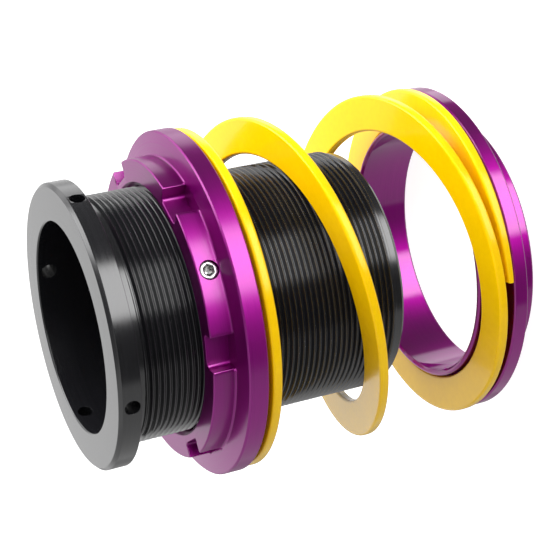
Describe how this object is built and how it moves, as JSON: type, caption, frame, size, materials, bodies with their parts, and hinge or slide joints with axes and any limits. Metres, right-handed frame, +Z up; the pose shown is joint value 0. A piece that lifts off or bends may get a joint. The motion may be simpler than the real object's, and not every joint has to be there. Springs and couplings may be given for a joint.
{
  "type": "coilover sleeve kit",
  "caption": "Height-adjustable coilover sleeve: threaded sleeve, locking adjuster ring, flat-wire helper spring and coupler ring for the main spring.",
  "frame": {"origin": "on the common axis, in the plane of the coupler ring's rear pilot end, which the part stands on", "axes": "+Z up along the common axis from the coupler ring to the sleeve's flange; +X out through the lock screw; right-handed"},
  "size_m": [0.0918, 0.0918, 0.116],
  "materials": {
    "black_anodised": "black anodised aluminium, satin gloss",
    "purple_anodised": "purple anodised aluminium, glossy turned surface",
    "yellow_powder_coat": "gloss yellow powder coat",
    "screw_steel": "zinc plated steel",
    "pad_brass": "plain brass"
  },
  "bodies": {
    "coupler": {"coupler_ring": "purple_anodised"},
    "spring": {"helper_spring": "yellow_powder_coat"},
    "sleeve": {"threaded_sleeve": "black_anodised"},
    "adjuster": {"adjuster_ring": "purple_anodised"},
    "pad": {"lock_pad": "pad_brass"},
    "screw": {"set_screw": "screw_steel"}
  },
  "joints": [
    {"name": "spring_compression", "type": "slide", "parent": "coupler", "child": "spring", "axis": [0, 0, -1], "range_m": [0, 0.057], "stiffness_N_per_m": 4600, "deforming": ["helper_spring"]},
    {"name": "adjuster_travel", "type": "slide", "parent": "spring", "child": "sleeve", "axis": [0, 0, 1], "range_m": [-0.012, 0.036]},
    {"name": "adjuster_turn", "type": "hinge", "parent": "spring", "child": "adjuster", "pos_m": [0, 0, 0.09], "axis": [0, 0, 1], "range_deg": [-8640, 2880]},
    {"name": "lock_screw_travel", "type": "slide", "parent": "adjuster", "child": "pad", "axis": [1, 0, 0], "range_m": [0, 0.0016]},
    {"name": "lock_screw_turn", "type": "hinge", "parent": "pad", "child": "screw", "pos_m": [0.037, 0, 0.0894], "axis": [1, 0, 0], "range_deg": [0, 720]}
  ],
  "couplings": [
    {"joint": "adjuster_turn", "follows": "adjuster_travel", "rad_per_m": -4188.8},
    {"joint": "lock_screw_turn", "follows": "lock_screw_travel", "rad_per_m": 7854}
  ]
}
